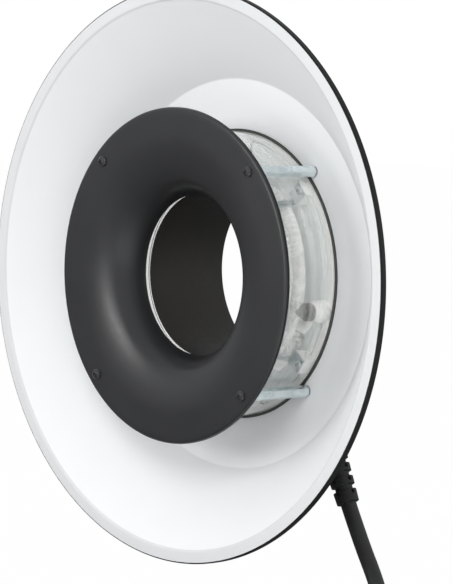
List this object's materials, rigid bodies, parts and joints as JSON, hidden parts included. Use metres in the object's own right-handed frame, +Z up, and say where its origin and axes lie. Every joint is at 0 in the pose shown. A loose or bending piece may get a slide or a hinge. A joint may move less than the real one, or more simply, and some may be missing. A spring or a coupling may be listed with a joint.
{
  "type": "ring flash head",
  "caption": "Studio ring-flash head: clear lamp drum round a lens tunnel, black trumpet front plate, white dish reflector, power lead and tilting stand adapter.",
  "frame": {"origin": "on the optical axis, in the plane of the dish floor's front face, where the four standoffs stand", "axes": "+Y along the optical axis from front to back, +Z up, +X to the right as seen from the front"},
  "size_m": [0.429, 0.1711, 0.6415],
  "materials": {
    "black_plate": "satin black powder coat",
    "black_screws": "blackened steel",
    "zinc": "bright zinc plate with a bluish cast",
    "steel": "machined steel",
    "clear_glass": "clear borosilicate",
    "tube_glass": "quartz flash tube",
    "lamp_glass": "clear halogen envelope",
    "seal_rubber": "dark silicone",
    "dish_white": "white inside, black outside",
    "liner_black": "satin black anodised",
    "polished_aluminium": "polished",
    "ceramic_white": "glazed ceramic, off-white",
    "nickel": "knurled nickel plate",
    "housing_black": "textured black powder coat",
    "cover_black": "satin black powder coat",
    "fan_plastic": "glass-filled plastic",
    "switch_plastic": "gloss black",
    "resin": "potting resin",
    "cable_rubber": "matte rubber sheath",
    "plug_plastic": "moulded black",
    "brass": "turned",
    "bracket_black": "satin black",
    "adapter_metal": "black anodised casting",
    "knob_black": "moulded black"
  },
  "bodies": {
    "stand": {"stand_adapter": "adapter_metal"},
    "head": {"front_plate": "black_plate", "plate_screws": "black_screws", "standoffs": "zinc", "standoff_nuts": "zinc", "standoff_washers": "zinc", "outer_glass": "clear_glass", "inner_glass": "clear_glass", "front_gasket": "seal_rubber", "rear_gasket": "seal_rubber", "inner_gasket": "seal_rubber", "throat_seal": "seal_rubber", "reflector_dish": "dish_white", "tunnel_liner": "liner_black", "lamp_floor": "polished_aluminium", "ceramic_seat_ring": "ceramic_white", "flash_tube": "tube_glass", "tube_end_caps": "nickel", "trigger_wire": "nickel", "terminal_insulators": "ceramic_white", "terminal_nuts": "nickel", "terminal_studs": "nickel", "lead_sleeves": "ceramic_white", "bracket_blocks": "ceramic_white", "tube_brackets": "zinc", "bracket_screws": "zinc", "modelling_lamps": "lamp_glass", "lamp_sockets": "ceramic_white", "rear_housing": "housing_black", "rear_cover": "cover_black", "cover_screws": "black_screws", "fan_frame": "fan_plastic", "fan_screws": "black_screws", "switch_bezel": "switch_plastic", "trigger_transformer": "resin", "terminal_block": "ceramic_white", "thermal_cutout": "brass", "wiring_loom": "cable_rubber", "cable_gland": "plug_plastic", "strain_relief": "cable_rubber", "lamp_cable": "cable_rubber", "plug_body": "plug_plastic", "plug_pins": "brass", "tilt_bracket": "bracket_black", "bracket_bolts": "steel", "friction_washers": "plug_plastic", "tilt_bolt": "steel"},
    "fan": {"fan_rotor": "fan_plastic"},
    "rocker": {"switch_rocker": "switch_plastic"},
    "collar": {"plug_collar": "knob_black"},
    "lever": {"tilt_lever": "bracket_black", "lever_cap": "steel"},
    "knob": {"lock_knob": "knob_black"},
    "pad": {"lock_pad": "brass"}
  },
  "joints": [
    {"name": "head_tilt", "type": "hinge", "parent": "stand", "child": "head", "pos_m": [0, 0.038, -0.118], "axis": [1, 0, 0], "range_deg": [-45, 30]},
    {"name": "tilt_lever_turn", "type": "hinge", "parent": "stand", "child": "lever", "pos_m": [0, 0.038, -0.118], "axis": [1, 0, 0], "range_deg": [-20, 25]},
    {"name": "lock_knob_turn", "type": "hinge", "parent": "stand", "child": "knob", "pos_m": [0, 0.038, -0.155], "axis": [1, 0, 0], "range_deg": [0, 540]},
    {"name": "lock_pad_travel", "type": "slide", "parent": "stand", "child": "pad", "axis": [1, 0, 0], "range_m": [0, 0.0019]},
    {"name": "fan_spin", "type": "hinge", "parent": "head", "child": "fan", "pos_m": [0, 0.0385, 0.098], "axis": [0, 1, 0], "continuous": true},
    {"name": "lamp_switch_rock", "type": "hinge", "parent": "head", "child": "rocker", "pos_m": [-0.082, 0.0475, 0], "axis": [1, 0, 0], "range_deg": [-7, 7]},
    {"name": "plug_collar_twist", "type": "hinge", "parent": "head", "child": "collar", "pos_m": [0.152, 0.04, -0.4], "axis": [0, 0, 1], "range_deg": [0, 45]}
  ],
  "couplings": [
    {"joint": "lock_pad_travel", "follows": "lock_knob_turn", "m_per_rad": 0.00019099}
  ]
}
